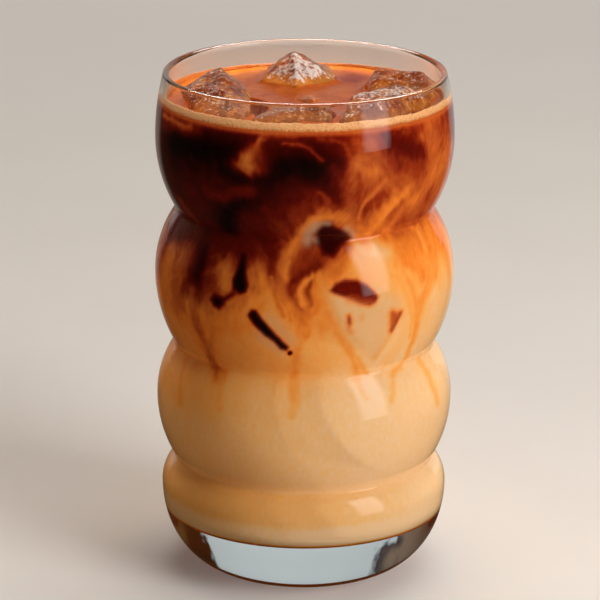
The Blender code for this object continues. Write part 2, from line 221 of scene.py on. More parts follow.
# Darkest places of sunk ice: milk value, softness in mm, outline
HOLES = [
    (0.10, 1.3, [
        (5.8, 111), (8, 112.3), (11, 111.9), (15, 110.8), (19.5, 109.3), (21.5, 107.5),
        (18.5, 106.4), (15, 105), (12, 103), (8, 103.6), (5.8, 107.5)]),
    (0.29, 0.8, [
        (9.5, 94), (12, 96), (16, 97), (21, 96.6), (25, 95), (28, 93), (29.8, 91.2), (28.5, 89.8),
        (25.5, 88.9), (22.5, 89.6), (19, 90.9), (15, 92.2), (11.5, 93)]),
    (0.0, 0.9, [
        (-26.6, 102.6), (-25.2, 102.4), (-24, 97.5), (-22.7, 95), (-23.2, 93), (-25.5, 92.4),
        (-28.3, 93.4), (-28.6, 95.5), (-27.8, 98)]),
    (0.02, 1.3, [
        (-38, 89.2), (-36.8, 90.6), (-34.4, 90.6), (-32.8, 90.2), (-32.2, 88.7), (-34.6, 87.0), (-37, 87.6)]),
    (0.22, 1.0, [(-33.5, 90.3), (-30, 91.9), (-28, 93), (-27, 92.2), (-30, 90.3), (-33, 89)]),
    (0.0, 0.9, [
        (-21.8, 86.5), (-20.5, 88.2), (-18.8, 88.1), (-16.5, 85.9), (-12.5, 82.6), (-9, 80),
        (-6.2, 77.8), (-7, 76.8), (-9.5, 77.2), (-12, 79.3), (-15.5, 81), (-19.5, 84)]),
    (0.08, 0.5, [(-6.6, 76), (-5.8, 76.8), (-4.7, 76.5), (-4.4, 75.9), (-5.3, 75.3), (-6.3, 75.4)]),
    (0.34, 1.0, [(16.5, 87), (17.6, 87.2), (18.5, 86), (18.6, 84.4), (17.6, 83.4), (16.6, 84.6)]),
    (0.50, 1.2, [
        (40.6, 85.7), (38, 86.2), (35.5, 87), (34.2, 86), (34.6, 83.5), (35, 80.5), (35.8, 79.4),
        (37.5, 81.6), (39.2, 83.6)]),
]
# Touches over the sunk ice, as the swirls
TOUCHES = [
    (0.38, 0.6, 0.85, [(40.1, 85.3), (38.2, 82.8), (36.5, 80.4)]),
    (0.84, 0.9, 0.7, [(35.5, 79), (33.5, 76), (31, 73)]),
    (0.62, 0.8, 0.7, [(17.6, 83), (18.6, 82)]),
    (0.76, 0.8, 0.7, [(22.5, 86)]),
    (0.52, 1.0, 0.7, [(18, 91.6), (22, 90.4), (26.5, 89.9)]),
]
# Random swirls of the sides and back, which lie in this range of degrees
SIDES = (84, 276)
# Blots: how many, milk value, half width in mm, strength, height in mm
SIDE_BLOTS = [
    (9, (0.42, 0.56), (4, 7), 0.7, (108, 134)),
    (9, (0, 0.12), (3, 5), 0.85, (106, 134)),
]
# Streams: how many, height in mm of the start, 1 up or -1 down, length in mm, sway in degrees either way,
# power by which the sway grows, how arched they are, places of the points along them, milk value,
# half width in mm, strength
SIDE_STREAMS = [
    (12, (97, 106), -1, (10, 22), 7, 2, 0, (0, 0.3, 0.6, 1), (0.24, 0.5), (1.2, 2.8), 0.85),
    (14, (78, 94), 1, (10, 28), 12, 1.5, 0, (0, 0.3, 0.6, 1), (0.6, 0.8), (1.0, 2.6), 0.85),
    (24, (74, 98), -1, (10, 24), 5, 1, 0, (0, 0.5, 1), (0.72, 0.82), (0.6, 1.1), 0.85),
    (16, (106, 128), 1, (-2, 10), 16, 1, 1, (0, 0.35, 0.7, 1), (0.4, 0.62), (0.5, 1.6), 0.8),
]

# Meshes
GLASS_TURNS = 180
COLUMNS = 520
FOAM_TURNS = 720
FOOT_STEPS = 40
ROW = 0.0005
NECK_ROW = 0.0003
SURFACE_ROW = 0.00048
GLASS_ROW = 0.0007
OUTER_NECK_ROW = 0.00025
INNER_NECK_ROW = 0.0004
ICE_GRAIN = 0.00042
# Where the level rows of the drink's skin end and start, with slanting rows between them and the
# meeting face
MILK_ROWS_END = 0.0745
MILK_SLANT_ROWS = 24
COFFEE_ROWS_START = 0.0965
COFFEE_SLANT_ROWS = 22
# Each layer's face keeps this far from where the two meet
MEET_GAP = 0.0001
# The meeting face has its full waves at this radius
MEET_REACH = 0.04
# Places on the unrolled wall are figured at this radius, in millimetres
WALL_RADIUS_MM = 39.0
FLOOR_RADIUS = 3.0
FLOOR_DROP = 0.0002
SEED = 11
# Section of the foam ring: shares of its width, inwards from the wall, and of its climb
FOAM_SECTION = [(1.0, -0.05), (0.66, -0.12), (0.33, -0.12), (0.0, -0.12), (0.0, 0.2), (0.0, 0.4), (0.0, 0.6),
                (0.0, 0.78), (0.02, 0.9), (0.08, 0.97), (0.18, 1.0), (0.3, 0.97), (0.44, 0.9), (0.58, 0.78),
                (0.7, 0.64), (0.8, 0.48), (0.89, 0.31), (0.96, 0.14)]
# Ripples of the surface as size, seed and height, and dents of the ice as size and depth
RIPPLES = [(0.011, 30, 0.00012), (0.004, 31, 0.00004)]
DENTS = [(0.0068, 0.0008), (0.0030, 0.00032), (0.0014, 0.00010), (0.0008, 0.00004)]
# Surface round the ice: rise and its reach, hollow under a lump and the width of its slope
RISE_AT_ICE = 0.0007
RISE_REACH = 0.0008
HOLLOW_DEPTH = 0.0060
HOLLOW_SLOPE = 0.0030
# Which way the frosted face of each lump looks, how frosted it is, and how much its foot glows
FROST = {
    "ice_left": ((-0.2, -0.8, 0.6), 0.40, 0.3),
    "ice_back": ((0.15, -0.85, 0.5), 1.0, 0.8),
    "ice_right_back": ((0.0, 0.0, 1.0), 0.12, 0.3),
    "ice_right_front": ((0.0, 0.1, 1.0), 0.6, 0.3),
    "ice_front": ((0.0, 0.3, 0.9), 0.3, 0.3),
    "ice_middle": ((0.0, 0.0, 1.0), 0.4, 0.3),
}
# How much further down the coffee reaches at each angle from the front, in millimetres
LEAN_ANGLES = [-180, -120, -75, -40, -10, 12, 35, 75, 110, 150, 180]
LEAN = [0, 5, 5, 7, 3, -4, -11, -12, -4, 4, 0]
# Milk value of the plain layers against height in millimetres
LAYER_HEIGHTS = [0, 58, 68, 76, 84, 92, 99, 106, 114, 126, 140]
LAYER_VALUES = [1.0, 0.985, 0.95, 0.90, 0.82, 0.68, 0.48, 0.32, 0.24, 0.20, 0.19]
# Colour of the drink against its milk value, linear
RAMP = [
    (0.00, (0.0030, 0.0008, 0.0005)), (0.15, (0.045, 0.002, 0.001)), (0.30, (0.14, 0.006, 0.002)),
    (0.42, (0.33, 0.035, 0.006)), (0.55, (0.60, 0.13, 0.02)), (0.68, (0.86, 0.25, 0.028)),
    (0.80, (0.92, 0.38, 0.075)), (0.88, (0.91, 0.45, 0.12)), (0.95, (0.90, 0.54, 0.22)),
    (1.00, (0.88, 0.60, 0.33)),
]
# Camera
VIEW_ELEVATION = math.radians(17.568)
VIEW_DISTANCE = 1.0
VIEW_ROLL = math.radians(0.24)
FOCAL_PIXELS = 3465.278
CENTRE_PIXELS = (304.198, 318.162)
FRAME_PIXELS = 600

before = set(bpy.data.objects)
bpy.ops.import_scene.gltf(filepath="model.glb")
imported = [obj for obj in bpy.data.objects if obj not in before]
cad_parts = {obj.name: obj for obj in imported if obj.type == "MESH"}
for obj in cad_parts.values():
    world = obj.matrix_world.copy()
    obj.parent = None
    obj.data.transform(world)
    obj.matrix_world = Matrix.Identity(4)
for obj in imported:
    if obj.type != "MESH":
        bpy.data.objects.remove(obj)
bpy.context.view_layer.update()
random = np.random.default_rng(SEED)
NOISE_TABLE = random.permutation(256)
NOISE_SLOPES = random.normal(size=(256, 3))
NOISE_SLOPES /= np.linalg.norm(NOISE_SLOPES, axis=1)[:, None]


def noise(points, size, seed=0):
    """Smooth noise from about -1 to 1, its lumps about size across (one number, or one per axis)."""
    place = np.asarray(points) / np.asarray(size) + seed * 17.31 + 500
    cell = np.floor(place).astype(int)
    inside = place - cell
    fade = inside ** 3 * (inside * (inside * 6 - 15) + 10)
    total = np.zeros(len(place))
    for corner in range(8):
        step = np.array([corner & 1, corner >> 1 & 1, corner >> 2 & 1])
        at = cell + step
        index = NOISE_TABLE[at[:, 0] & 255]
        index = NOISE_TABLE[(index + at[:, 1]) & 255]
        index = NOISE_TABLE[(index + at[:, 2]) & 255]
        slope = (NOISE_SLOPES[index] * (inside - step)).sum(axis=1)
        total += np.where(step == 1, fade, 1 - fade).prod(axis=1) * slope
    return total * 1.6


def smooth_step(low, high, value):
    share = np.clip((value - low) / (high - low), 0, 1)
    return share * share * (3 - 2 * share)


def soft_max(first, second, softness):
    near = np.clip(softness - np.abs(first - second), 0, None) / softness
    return np.maximum(first, second) + near * near * softness / 4


def bulge_profile(z):
    """Outer radius of the wall: arcs that stand upright at the crests, blended at the necks."""
    radius = None
    for index in range(4):
        crest, middle = BULGE_RADII[index], BULGE_HEIGHTS[index]
        above = (RIM_RADIUS, HEIGHT) if index == 0 else (NECK_RADII[index - 1], NECK_HEIGHTS[index - 1])
        below = (NECK_RADII[index], NECK_HEIGHTS[index]) if index < 3 else above
        bends = []
        for neck, height in (above, below):
            drop, rise = crest - neck, abs(middle - height)
            bends.append((drop * drop + rise * rise) / (2 * drop))
        bend = np.where(z > middle, bends[0], bends[1])
        away = np.minimum(np.abs(z - middle), bend * 0.98)
        arc = crest - bend + np.sqrt(bend * bend - away * away)
        radius = arc if radius is None else soft_max(radius, arc, NECK_SOFTNESS * 4)
    return radius


def foot_point(turn):
    """Rounded foot, turn running from 0 at the lowest crest to 1 at the base."""
    power = 2 / FOOT_FULLNESS
    angle = turn * math.pi / 2
    radius = FOOT_RADIUS + (BULGE_RADII[3] - FOOT_RADIUS) * max(0.0, math.cos(angle)) ** power
    return radius, BULGE_HEIGHTS[3] * (1 - math.sin(angle) ** power)


def inner_radius(z):
    """Inner radius of the glass: the outer skin moved in by the wall, rounded into the floor."""
    z = np.asarray(z, float)
    radius = np.full(z.shape, 1.0)
    for away in np.linspace(-WALL, WALL, 41):
        reach = math.sqrt(max(0.0, WALL * WALL - away * away))
        radius = np.minimum(radius, bulge_profile(np.clip(z + away, BULGE_HEIGHTS[3], HEIGHT)) - reach)
    above = np.clip(z - FLOOR_HEIGHT, 0, FLOOR_CORNER)
    return radius - FLOOR_CORNER + np.sqrt(FLOOR_CORNER ** 2 - (FLOOR_CORNER - above) ** 2)


def wall_rows(low, high, step, near_necks):
    """Heights from low to high, closer together round the necks."""
    rows = list(np.arange(low, high, step))
    for neck in NECK_HEIGHTS:
        rows += [z for z in np.arange(neck - 0.002, neck + 0.002, near_necks) if low < z < high]
    rows = np.unique(np.round(rows + [high], 7))
    keep = [rows[0]]
    for z in rows[1:]:
        if z - keep[-1] > near_necks * 0.6:
            keep.append(z)
    keep[-1] = high
    return np.array(keep)


def angles_of(turns):
    return 2 * math.pi * np.arange(turns) / turns


def revolve(name, rings, turns, centres=None):
    """Closed mesh of rings round Z, each a radius and a height, as one number or one per turn.

    centres are the heights where it closes on the axis; without them the last ring joins the first.
    """
    radii, heights = (np.array([np.broadcast_to(ring[part], turns) for ring in rings]) for part in (0, 1))
    angle = angles_of(turns)
    verts = np.stack([radii * np.cos(angle), radii * np.sin(angle), heights], axis=-1).reshape(-1, 3)
    here = np.arange(turns)
    after = (here + 1) % turns
    count = len(rings)
    faces = []
    for row in range(count if centres is None else count - 1):
        low, high = row * turns, (row + 1) % count * turns
        faces += np.stack([low + here, low + after, high + after, high + here], axis=1).tolist()
    if centres is not None:
        bottom, last = count * turns, (count - 1) * turns
        verts = np.vstack([verts, [(0, 0, z) for z in centres]])
        faces += np.stack([np.full(turns, bottom), after, here], axis=1).tolist()
        faces += np.stack([np.full(turns, bottom + 1), last + here, last + after], axis=1).tolist()
    return add_piece(name, verts, faces)


def put_in_scene(name, data):
    made = bpy.data.objects.new(name, data)
    bpy.context.scene.collection.objects.link(made)
    return made


def add_piece(name, verts, faces):
    mesh = bpy.data.meshes.new(name)
    mesh.from_pydata(verts, [], faces)
    mesh.update()
    mesh.shade_smooth()
    return put_in_scene(name, mesh)


def read_points(piece, what="co"):
    found = np.empty(len(piece.data.vertices) * 3, np.float32)
    piece.data.vertices.foreach_get(what, found)
    return found.reshape(-1, 3).astype(float)


def move_points(piece, co):
    piece.data.vertices.foreach_set("co", co.astype(np.float32).ravel())
    piece.data.update()


def paint(piece, name, values):
    layer = piece.data.attributes.new(name, "FLOAT", "POINT")
    layer.data.foreach_set("value", np.asarray(values, np.float32))


def turn_towards(across, path):
    """Angles moved by whole turns to lie round the middle of a path of (degrees, height)."""
    middle = np.mean([degrees for degrees, _ in path])
    return (across - middle + 180) % 360 - 180 + middle


def path_distance(across, up, path):
    """Distance in millimetres from each point of the unrolled wall to a path of (degrees, height)."""
    x = np.radians(turn_towards(across, path)) * WALL_RADIUS_MM
    corners = [(math.radians(degrees) * WALL_RADIUS_MM, height) for degrees, height in path]
    if len(corners) == 1:
        corners = corners * 2
    nearest = np.full(x.shape, 1e3)
    for (x0, z0), (x1, z1) in zip(corners[:-1], corners[1:]):
        length = max((x1 - x0) ** 2 + (z1 - z0) ** 2, 1e-9)
        share = np.clip(((x - x0) * (x1 - x0) + (up - z0) * (z1 - z0)) / length, 0, 1)
        nearest = np.minimum(nearest, np.hypot(x - x0 - share * (x1 - x0), up - z0 - share * (z1 - z0)))
    return nearest


def outline_depth(across, up, outline):
    """Millimetres inside an outline of (degrees, height) on the unrolled wall, negative outside."""
    edge = path_distance(across, up, outline + outline[:1])
    x = turn_towards(across, outline)
    inside = np.zeros(x.shape, bool)
    for (x0, z0), (x1, z1) in zip(outline, outline[1:] + outline[:1]):
        if z0 != z1:
            crosses = (up > z0) != (up > z1)
            inside ^= crosses & (x < (x1 - x0) * (up - z0) / (z1 - z0) + x0)
    return np.where(inside, edge, -edge)


def side_swirls():
    """Swirls of the same kind for the sides and back, which the front's list doesn't cover."""
    made = []
    for count, milk, half, strength, height in SIDE_BLOTS:
        for _ in range(count):
            made.append((random.uniform(*milk), random.uniform(*half), strength,
                         [(random.uniform(*SIDES), random.uniform(*height))]))
    for count, start, way, length, sway, power, arch, places, milk, half, strength in SIDE_STREAMS:
        for _ in range(count):
            degrees, height = random.uniform(*SIDES), random.uniform(*start)
            climb, lean = way * random.uniform(*length), random.uniform(-sway, sway)
            path = [(degrees + lean * place ** power, height + climb * place * (1 + arch * (1 - place)))
                    for place in places]
            made.append((random.uniform(*milk), random.uniform(*half), strength, path))
    return made


def on_wall(across, up):
    """Points in millimetres on a plain round wall, so that noise joins up all round."""
    turn = np.radians(across)
    return np.column_stack([WALL_RADIUS_MM * np.sin(turn), -WALL_RADIUS_MM * np.cos(turn), up])


def streams(across, up):
    """Noise drawn out along slow eddies and downward streams."""
    steps, stride = 7, 0.75
    total = np.zeros(len(across))
    for _ in range(steps):
        place = on_wall(across, up)
        total += noise(place, 1.5, 30) + 0.6 * noise(place, 0.8, 31)
        turn = noise(place, 17, 32) * 2.2
        across = across + np.degrees(np.sin(turn) * stride / WALL_RADIUS_MM)
        up = up - np.cos(turn) * stride
    return total / 4.5


def bell(distance, half):
    """1 on the spot, falling to a half where the distance is half."""
    return np.exp(-0.69 * (distance / half) ** 2.2)


def paint_paths(value, across, up, paths, grain):
    for milk, half, strength, path in paths:
        reach = half * 2.6 + 1.5
        slack = math.degrees(reach / 36)
        degrees, heights = zip(*path)
        gap = turn_towards(across, path)
        close = (gap > min(degrees) - slack) & (gap < max(degrees) + slack)
        close &= (up > min(heights) - reach) & (up < max(heights) + reach)
        where = np.nonzero(close)[0]
        far = path_distance(across[where], up[where], path)
        width = np.maximum(half * (1 + 0.35 * grain[where]), 0.2)
        value[where] += (milk - value[where]) * strength * bell(far, width)


def paint_sunk_ice(value, across, up, plain, grain):
    """Faces, painted sheen, holes and touches of the sunk ice, over value; gives the strength of the painted
    sheen at each point.
    """
    ice_sheen = np.zeros(len(value))
    for milk, face_sheen, soft, outline in FACES:
        cover = smooth_step(-soft, soft, outline_depth(across, up, outline))
        value += (milk - value) * cover
        ice_sheen = np.maximum(ice_sheen, cover * face_sheen)
    for strength, half, path in ICE_SHEENS:
        ice_sheen = np.maximum(ice_sheen, strength * bell(path_distance(across, up, path), half))
    for milk, soft, outline in HOLES:
        cover = smooth_step(-soft, soft, outline_depth(across, up, outline))
        value += (milk + 0.03 * noise(plain, 0.7, 17) - value) * cover
        ice_sheen *= 1 - cover
    paint_paths(value, across, up, TOUCHES, grain * 0.4)
    return ice_sheen


def drink_values(points):
    """Milk value and painted sheen of sunk ice at each point of the skin; milk goes from 0 for coffee to 1
    for milk.
    """
    across = np.degrees(np.arctan2(points[:, 0], -points[:, 1]))
    up = points[:, 2] * 1000
    plain = on_wall(across, up)
    flow = streams(across, up)
    bent = plain + np.stack([noise(plain, 12, seed) for seed in (1, 2, 3)], axis=1) * 3.0
    tongues = noise(bent, (5.2, 5.2, 24), 4) * 6 + noise(bent, (2.2, 2.2, 12), 5) * 2.0
    lumps = noise(bent, 9, 6) * 4 + flow * 2.0
    lean = np.interp(across, LEAN_ANGLES, LEAN)
    value = np.interp(up + lean + tongues + lumps, LAYER_HEIGHTS, LAYER_VALUES)
    shift, lift = (noise(plain, 6, seed) * 0.6 + noise(plain, 2.2, seed + 1) * 0.32 for seed in (9, 11))
    at = across + np.degrees((shift + flow * 0.22) / WALL_RADIUS_MM)
    grain = noise(bent, (2.2, 2.2, 5.0), 13) + flow * 0.5
    paint_paths(value, at, up + lift, side_swirls() + SWIRLS, grain)
    # The left is in shade, most of all low down
    from_back = smooth_step(-150, -90, across)
    value -= 0.070 * smooth_step(35, -50, across) * smooth_step(100, 70, up) * from_back
    shade = smooth_step(-22, -58, across) * smooth_step(-150, -100, across) * smooth_step(50, 58, up)
    value -= 0.07 * shade * smooth_step(84, 68, up)
    # Fine movement where the two mix
    lively = np.clip(4 * value * (1 - value), 0, 1) ** 1.5
    value += flow * 0.05 * lively + noise(bent, 3.0, 16) * 0.03 * lively
    near = across + np.degrees(shift * 0.3 / WALL_RADIUS_MM)
    ice_sheen = paint_sunk_ice(value, near, up + lift * 0.3, plain, grain)
    value += noise(plain, 1.1, 14) * 0.012 + noise(plain, 0.6, 15) * 0.008
    # Painted shade as a darker band under the last neck, painted light as a paler strip under it, amber under
    # the foam and an edge at the foot
    band = smooth_step(23.0, 24.8, up + lift) * smooth_step(33.6, 31.6, up) * smooth_step(65, 15, across)
    value -= 0.05 * band * from_back
    value += 0.03 * smooth_step(24.0, 22.0, up)
    value += smooth_step(1.9, 0.2, LEVEL * 1000 - up) * (0.54 - value) * 0.85
    value -= 0.42 * smooth_step(1.3, 0.5, up - FLOOR_HEIGHT * 1000)
    return np.clip(value, 0, 1), np.clip(ice_sheen, 0, 1)


def meet_height(radius, angle):
    """Height at which the coffee meets the milk, as in the solids."""
    wave = sum(size * np.sin(count * angle + phase) for count, size, phase in MEET_WAVES)
    return MEET_HEIGHT + wave * radius / MEET_REACH


def meeting_rings(shares, shift):
    """Rings of the face between the layers, by their shares of its radius, moved up by shift."""
    angle = angles_of(COLUMNS)
    edge = skin_radius(meet_height(MEET_REACH, angle))
    return [(edge * share, meet_height(edge * share, angle) + shift) for share in shares]


def skin_radius(z):
    return inner_radius(z) + INTO_WALL


def skin_rings(heights):
    return [(skin_radius(z), z) for z in heights]


def make_milk():
    """Milk layer, from the glass's floor up to the waving face under the coffee."""
    top = meet_height(MEET_REACH, angles_of(COLUMNS))
    low = FLOOR_HEIGHT - INTO_WALL
    corner = FLOOR_HEIGHT + FLOOR_CORNER
    inset = inner_radius(corner) - FLOOR_CORNER
    reach = FLOOR_CORNER + INTO_WALL
    rings = [(share * inset, low) for share in (0.2, 0.4, 0.6, 0.8, 1.0)]
    rings += [(inset + reach * math.sin(turn), corner - reach * math.cos(turn))
              for turn in np.linspace(0, math.pi / 2, 12)[1:]]
    rows = wall_rows(corner + ROW, MILK_ROWS_END, ROW, NECK_ROW)
    rings += skin_rings(rows)
    rings += skin_rings(rows[-1] + (top - rows[-1]) * step / MILK_SLANT_ROWS
                        for step in range(1, MILK_SLANT_ROWS + 1))
    rings += meeting_rings((0.985, 0.85, 0.6, 0.3), -MEET_GAP)
    return revolve("milk_layer", rings, COLUMNS, (low, meet_height(0.0, 0.0) - MEET_GAP))


def sharpen_rim(piece, co):
    """Keep the corner between wall and meeting face crisp, so that the two layers join unseen."""
    on_skin = np.hypot(co[:, 0], co[:, 1]) > skin_radius(co[:, 2]) - 0.00001
    seam = meet_height(MEET_REACH, np.arctan2(co[:, 1], co[:, 0]))
    near = on_skin & (np.abs(co[:, 2] - seam) < 0.00002)
    ends = np.empty(len(piece.data.edges) * 2, np.int32)
    piece.data.edges.foreach_get("vertices", ends)
    sharp = piece.data.attributes.new("sharp_edge", "BOOLEAN", "EDGE")
    sharp.data.foreach_set("value", near[ends.reshape(-1, 2)].all(axis=1))


def ice_sections(pieces):
    """Outline of each ice lump where it passes the drink's level, as points in plan."""
    found = {}
    for name, piece in pieces.items():
        co = read_points(piece)
        cut = []
        for edge in piece.data.edges:
            a, b = co[edge.vertices[0]], co[edge.vertices[1]]
            if (a[2] - LEVEL) * (b[2] - LEVEL) < 0:
                share = (LEVEL - a[2]) / (b[2] - a[2])
                cut.append((a + (b - a) * share)[:2])
        found[name] = np.array(cut)
    return found


def outline_distance(plan, cut):
    """Distance in metres outside a cloud of outline points, negative inside it."""
    centre = cut.mean(axis=0)
    bearing = np.arctan2(cut[:, 1] - centre[1], cut[:, 0] - centre[0])
    order = np.argsort(bearing)
    length = np.hypot(*(cut - centre).T)[order]
    turn = np.arctan2(plan[:, 1] - centre[1], plan[:, 0] - centre[0])
    edge = np.interp(turn, bearing[order], length, period=2 * math.pi)
    return np.hypot(*(plan - centre).T) - edge


def make_coffee(cuts):
    """Coffee layer on the milk, with its level surface, and hollows where the ice stands in it.

    Gives the piece and the number of rings that come before the surface's.
    """
    angle = angles_of(COLUMNS)
    bottom = meet_height(MEET_REACH, angle)
    rings = meeting_rings((0.3, 0.6, 0.85, 0.985), MEET_GAP)
    rows = wall_rows(COFFEE_ROWS_START, LEVEL + 0.0002, ROW, NECK_ROW)
    rings += skin_rings(bottom + (rows[0] - bottom) * step / COFFEE_SLANT_ROWS
                        for step in range(COFFEE_SLANT_ROWS))
    rings += skin_rings(rows)
    wall_count = len(rings)
    edge = float(skin_radius(LEVEL))
    inward = [0.0003, 0.0007, 0.0011, 0.0015] + list(np.arange(0.002, edge - 0.0004, SURFACE_ROW))
    radii = edge - np.array(inward)
    plan = np.stack([np.outer(radii, np.cos(angle)), np.outer(radii, np.sin(angle))], axis=-1).reshape(-1, 2)
    flat = np.column_stack([plan, np.zeros(len(plan))])
    level = np.full(len(flat), LEVEL)
    for size, seed, height in RIPPLES:
        level += noise(flat, size, seed) * height
    for name, cut in cuts.items():
        # The middle tip is too small for a hollow
        if name != "ice_middle":
            outside = outline_distance(plan, cut)
            level += RISE_AT_ICE * np.exp(-np.clip(outside, 0, None) / RISE_REACH) * (outside > -0.0012)
            level -= HOLLOW_DEPTH * np.clip((-0.0006 - outside) / HOLLOW_SLOPE, 0, 1)
    rings += zip(radii, level.reshape(-1, COLUMNS))
    centres = (meet_height(0.0, 0.0) + MEET_GAP, level[-1])
    return revolve("coffee_layer", rings, COLUMNS, centres), wall_count


def make_glass():
    """The tumbler: solid rounded foot, rippled wall, round rim."""
    lip = WALL / 2
    brim = HEIGHT - lip
    corner = FLOOR_HEIGHT + FLOOR_CORNER
    rings = [(FOOT_RADIUS * share, 0.0) for share in (0.33, 0.66, 1)]
    rings += [foot_point(1 - step / FOOT_STEPS) for step in range(1, FOOT_STEPS)]
    rows = wall_rows(BULGE_HEIGHTS[3], brim, GLASS_ROW, OUTER_NECK_ROW)
    rings += zip(bulge_profile(rows), rows)
    middle = bulge_profile(np.array([brim]))[0] - lip
    rings += [(middle + lip * math.cos(turn), brim + lip * math.sin(turn))
              for turn in np.linspace(0, math.pi, 19)[1:-1]]
    rows = wall_rows(corner, brim, GLASS_ROW, INNER_NECK_ROW)[::-1]
    rings += zip(inner_radius(rows), rows)
    inset = inner_radius(corner) - FLOOR_CORNER
    rings += [(inset + FLOOR_CORNER * math.sin(turn), FLOOR_HEIGHT + FLOOR_CORNER * (1 - math.cos(turn)))
              for turn in np.linspace(math.pi / 2, 0, 14)[1:]]
    rings += [(inset * share, FLOOR_HEIGHT) for share in (0.66, 0.33)]
    return revolve("tumbler", rings, GLASS_TURNS, (0.0, FLOOR_HEIGHT))


def make_foam():
    """Ring of foam that climbs the wall, highest at the front, with a bubbly skin."""
    angle = angles_of(FOAM_TURNS)
    front = 0.5 - 0.5 * np.sin(angle)
    circle = np.column_stack([np.cos(angle), np.sin(angle), np.zeros(FOAM_TURNS)])
    rise = FOAM_BACK + (FOAM_FRONT - FOAM_BACK) * front ** 0.6
    rise = rise * (1 + 0.10 * noise(circle, 0.16, 40) + 0.05 * noise(circle, 0.05, 41))
    width = FOAM_WIDTH * (0.45 + 0.55 * front)
    width = width * (1 + 0.22 * noise(circle, 0.2, 42) + 0.12 * noise(circle, 0.06, 43))
    rings = []
    for share, climb in FOAM_SECTION:
        z = LEVEL + rise * climb
        rings.append((skin_radius(z) - width * share, z))
    piece = revolve("foam_ring", rings, FOAM_TURNS)
    co = read_points(piece)
    radius = np.hypot(co[:, 0], co[:, 1])
    free = smooth_step(0.0, 0.0004, skin_radius(co[:, 2]) - radius)
    bubble = noise(co, 0.0011, 44) * 0.00016 + noise(co, 0.0005, 45) * 0.00008
    co[:, 2] += bubble * free
    co[:, :2] *= (1 - bubble * free / radius)[:, None]
    move_points(piece, co)
    paint(piece, "climb", (co[:, 2] - LEVEL) / np.tile(rise, len(FOAM_SECTION)))
    paint(piece, "amber", np.tile(smooth_step(-0.30, 0.45, np.sin(angle)), len(FOAM_SECTION)))
    return piece


def ice_hull(name, corners):
    """Hull of small balls set just inside the corners, as in the solids, with finer balls."""
    points = [Vector((x / 1000, y / 1000, LEVEL + z / 1000)) for x, y, z in corners]
    middle = sum(points, Vector()) / len(points)
    sunk = []
    for point in points:
        if point.z < LEVEL + ICE_LOW:
            away = Vector((point.x - middle.x, point.y - middle.y, 0)) * ICE_TAPER
            sunk.append(Vector((middle.x + away.x, middle.y + away.y, LEVEL - ICE_SUNK)))
    centre = Vector((middle.x, middle.y, LEVEL - ICE_SUNK / 3))
    mesh = bmesh.new()
    for point in points + sunk:
        inward = (centre - point).normalized() * ICE_EDGE * 1.2
        bmesh.ops.create_icosphere(mesh, subdivisions=3, radius=ICE_EDGE,
                                   matrix=Matrix.Translation(point + inward))
    result = bmesh.ops.convex_hull(mesh, input=mesh.verts)
    spare = set(result["geom_interior"]) | set(result["geom_unused"])
    bmesh.ops.delete(mesh, geom=[v for v in spare if isinstance(v, bmesh.types.BMVert)], context="VERTS")
    hull_faces = {f for f in result["geom"] if isinstance(f, bmesh.types.BMFace) and f.is_valid}
    bmesh.ops.delete(mesh, geom=[f for f in mesh.faces if f not in hull_faces], context="FACES")
    bmesh.ops.delete(mesh, geom=[v for v in mesh.verts if not v.link_faces], context="VERTS")
    bmesh.ops.recalc_face_normals(mesh, faces=mesh.faces)
    data = bpy.data.meshes.new(name)
    mesh.to_mesh(data)
    mesh.free()
    return put_in_scene(name, data)


def weather_ice(piece, seed):
    """Even out the mesh and give the ice its melted dents."""
    even = piece.modifiers.new("even", "REMESH")
    even.mode = "VOXEL"
    even.voxel_size = ICE_GRAIN
    graph = bpy.context.evaluated_depsgraph_get()
    piece.data = bpy.data.meshes.new_from_object(piece.evaluated_get(graph))
    piece.modifiers.clear()
    smoother = bmesh.new()
    smoother.from_mesh(piece.data)
    for _ in range(3):
        bmesh.ops.smooth_vert(smoother, verts=smoother.verts, factor=0.5)
    smoother.to_mesh(piece.data)
    smoother.free()
    piece.data.update()
    co = read_points(piece)
    normals = read_points(piece, "normal")
    dent = sum(noise(co, size, seed + step) * depth for step, (size, depth) in enumerate(DENTS))
    co += normals * dent[:, None]
    move_points(piece, co)
    piece.data.shade_smooth()
    return co, normals


def fill(tree, node, inputs):
    """Set a node's inputs to numbers or colours, or link them to other nodes' sockets."""
    for key, value in inputs.items():
        socket = node.inputs[key]
        if isinstance(value, bpy.types.NodeSocket):
            tree.links.new(value, socket)
        else:
            socket.default_value = (*value, 1) if socket.type == "RGBA" else value


def new_material(name):
    material = bpy.data.materials.new(name)
    material.use_nodes = True
    tree = material.node_tree
    return material, tree, tree.nodes["Principled BSDF"]


def add_node(tree, kind, inputs=None, **settings):
    made = tree.nodes.new(kind)
    for key, value in settings.items():
        setattr(made, key, value)
    fill(tree, made, inputs or {})
    return made


def noise_of(tree, scale, detail=3.0, stretch=(1, 1, 1), rough=0.5):
    """A noise texture in the object's own metres."""
    place = add_node(tree, "ShaderNodeTexCoord").outputs["Object"]
    if stretch != (1, 1, 1):
        place = add_node(tree, "ShaderNodeMapping", {"Vector": place, "Scale": stretch}).outputs[0]
    made = {"Vector": place, "Scale": scale, "Detail": detail, "Roughness": rough}
    return add_node(tree, "ShaderNodeTexNoise", made).outputs["Fac"]


def math_of(tree, operation, first, second=0.0, clamp=False):
    return add_node(tree, "ShaderNodeMath", {0: first, 1: second}, operation=operation,
                    use_clamp=clamp).outputs[0]


def remap(tree, value, low, high, to_low=0.0, to_high=1.0):
    return add_node(tree, "ShaderNodeMapRange", {"Value": value, "From Min": low, "From Max": high,
                                                 "To Min": to_low, "To Max": to_high}).outputs[0]


def mix_colour(tree, share, first, second):
    return add_node(tree, "ShaderNodeMix", {0: share, 6: first, 7: second}, data_type="RGBA").outputs[2]


def attribute_of(tree, name):
    return add_node(tree, "ShaderNodeAttribute", attribute_name=name).outputs["Fac"]


